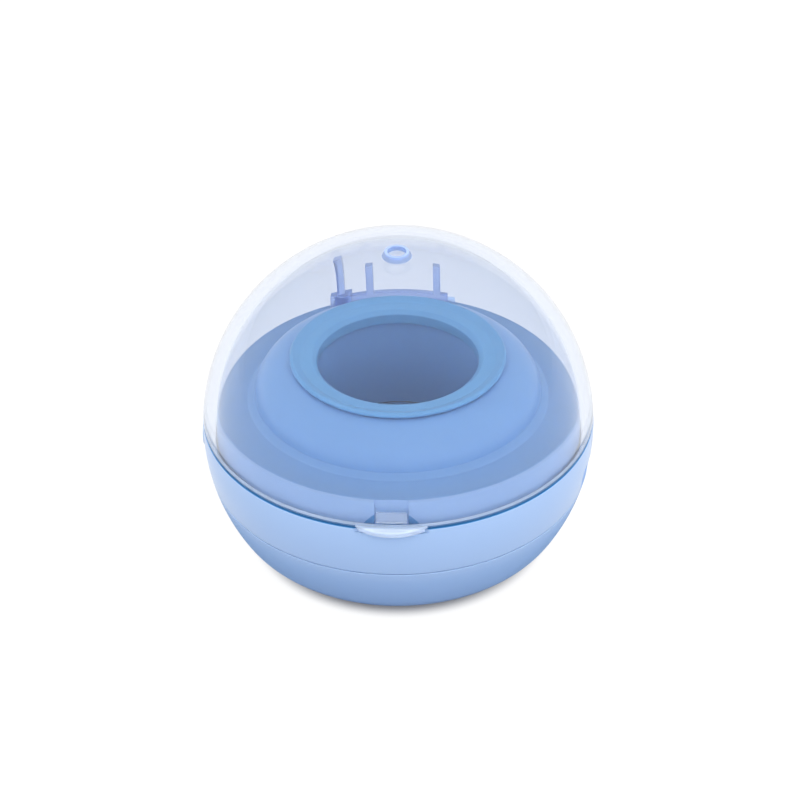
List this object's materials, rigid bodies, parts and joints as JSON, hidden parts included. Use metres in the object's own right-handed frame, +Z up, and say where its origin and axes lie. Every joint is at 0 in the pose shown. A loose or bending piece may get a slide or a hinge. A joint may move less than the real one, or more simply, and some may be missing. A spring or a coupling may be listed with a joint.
{
  "type": "pacifier sterilizer case",
  "caption": "Ball-shaped countertop sterilizer case: clear hinged dome over a round base with a raised seat, a lamp well, a side push button and a battery bay.",
  "frame": {"origin": "on the surface it stands on, below the middle of its bounding box", "axes": "+Z up, -Y towards the front lip, +Y towards the hinge, +X towards the power inlet"},
  "size_m": [0.0882, 0.094, 0.0745],
  "materials": {
    "case_blue": "satin moulded plastic",
    "cradle_blue": "satin moulded plastic",
    "seat_blue": "soft matte",
    "clear_dome": "clear polished, faint blue tint",
    "quartz": "polished",
    "mirror_metal": "bright",
    "lamp_glass": "clear",
    "white_plastic": "moulded",
    "circuit_board": "solder mask",
    "black_plastic": "moulded",
    "cell_jacket": "printed film, bare",
    "steel": "plated",
    "grey_rubber": "matt"
  },
  "bodies": {
    "base": {"lower_shell": "case_blue", "upper_shell": "case_blue", "inner_cradle": "cradle_blue", "seat_ring": "seat_blue", "lamp_window": "quartz", "lamp_reflector": "mirror_metal", "uv_lamp": "lamp_glass", "lamp_socket": "white_plastic", "control_board": "circuit_board", "lamp_transformer": "black_plastic", "capacitor": "black_plastic", "driver_chip": "black_plastic", "status_led": "lamp_glass", "button_switch": "black_plastic", "power_inlet": "steel", "reed_switch": "lamp_glass", "battery_holder": "white_plastic", "battery_1": "cell_jacket", "battery_2": "cell_jacket", "battery_3": "cell_jacket", "contact_spring_1": "steel", "contact_spring_2": "steel", "contact_spring_3": "steel", "contact_plate_left": "steel", "contact_plate_right": "steel", "battery_cover": "case_blue", "cover_screw": "steel", "case_screw_1": "steel", "case_screw_2": "steel", "case_screw_3": "steel", "foot_1": "grey_rubber", "foot_2": "grey_rubber", "foot_3": "grey_rubber", "foot_4": "grey_rubber", "hinge_pin": "steel"},
    "lid": {"lid_dome": "clear_dome", "lid_magnet": "steel"},
    "button": {"power_button": "case_blue"}
  },
  "joints": [
    {"name": "lid_hinge", "type": "hinge", "parent": "base", "child": "lid", "pos_m": [0.00015, 0.04445, 0.0326], "axis": [-1, 0, 0], "range_deg": [0, 100]},
    {"name": "button_press", "type": "slide", "parent": "base", "child": "button", "axis": [1, 0, 0], "range_m": [0, 0.0008], "stiffness_N_per_m": 800}
  ]
}
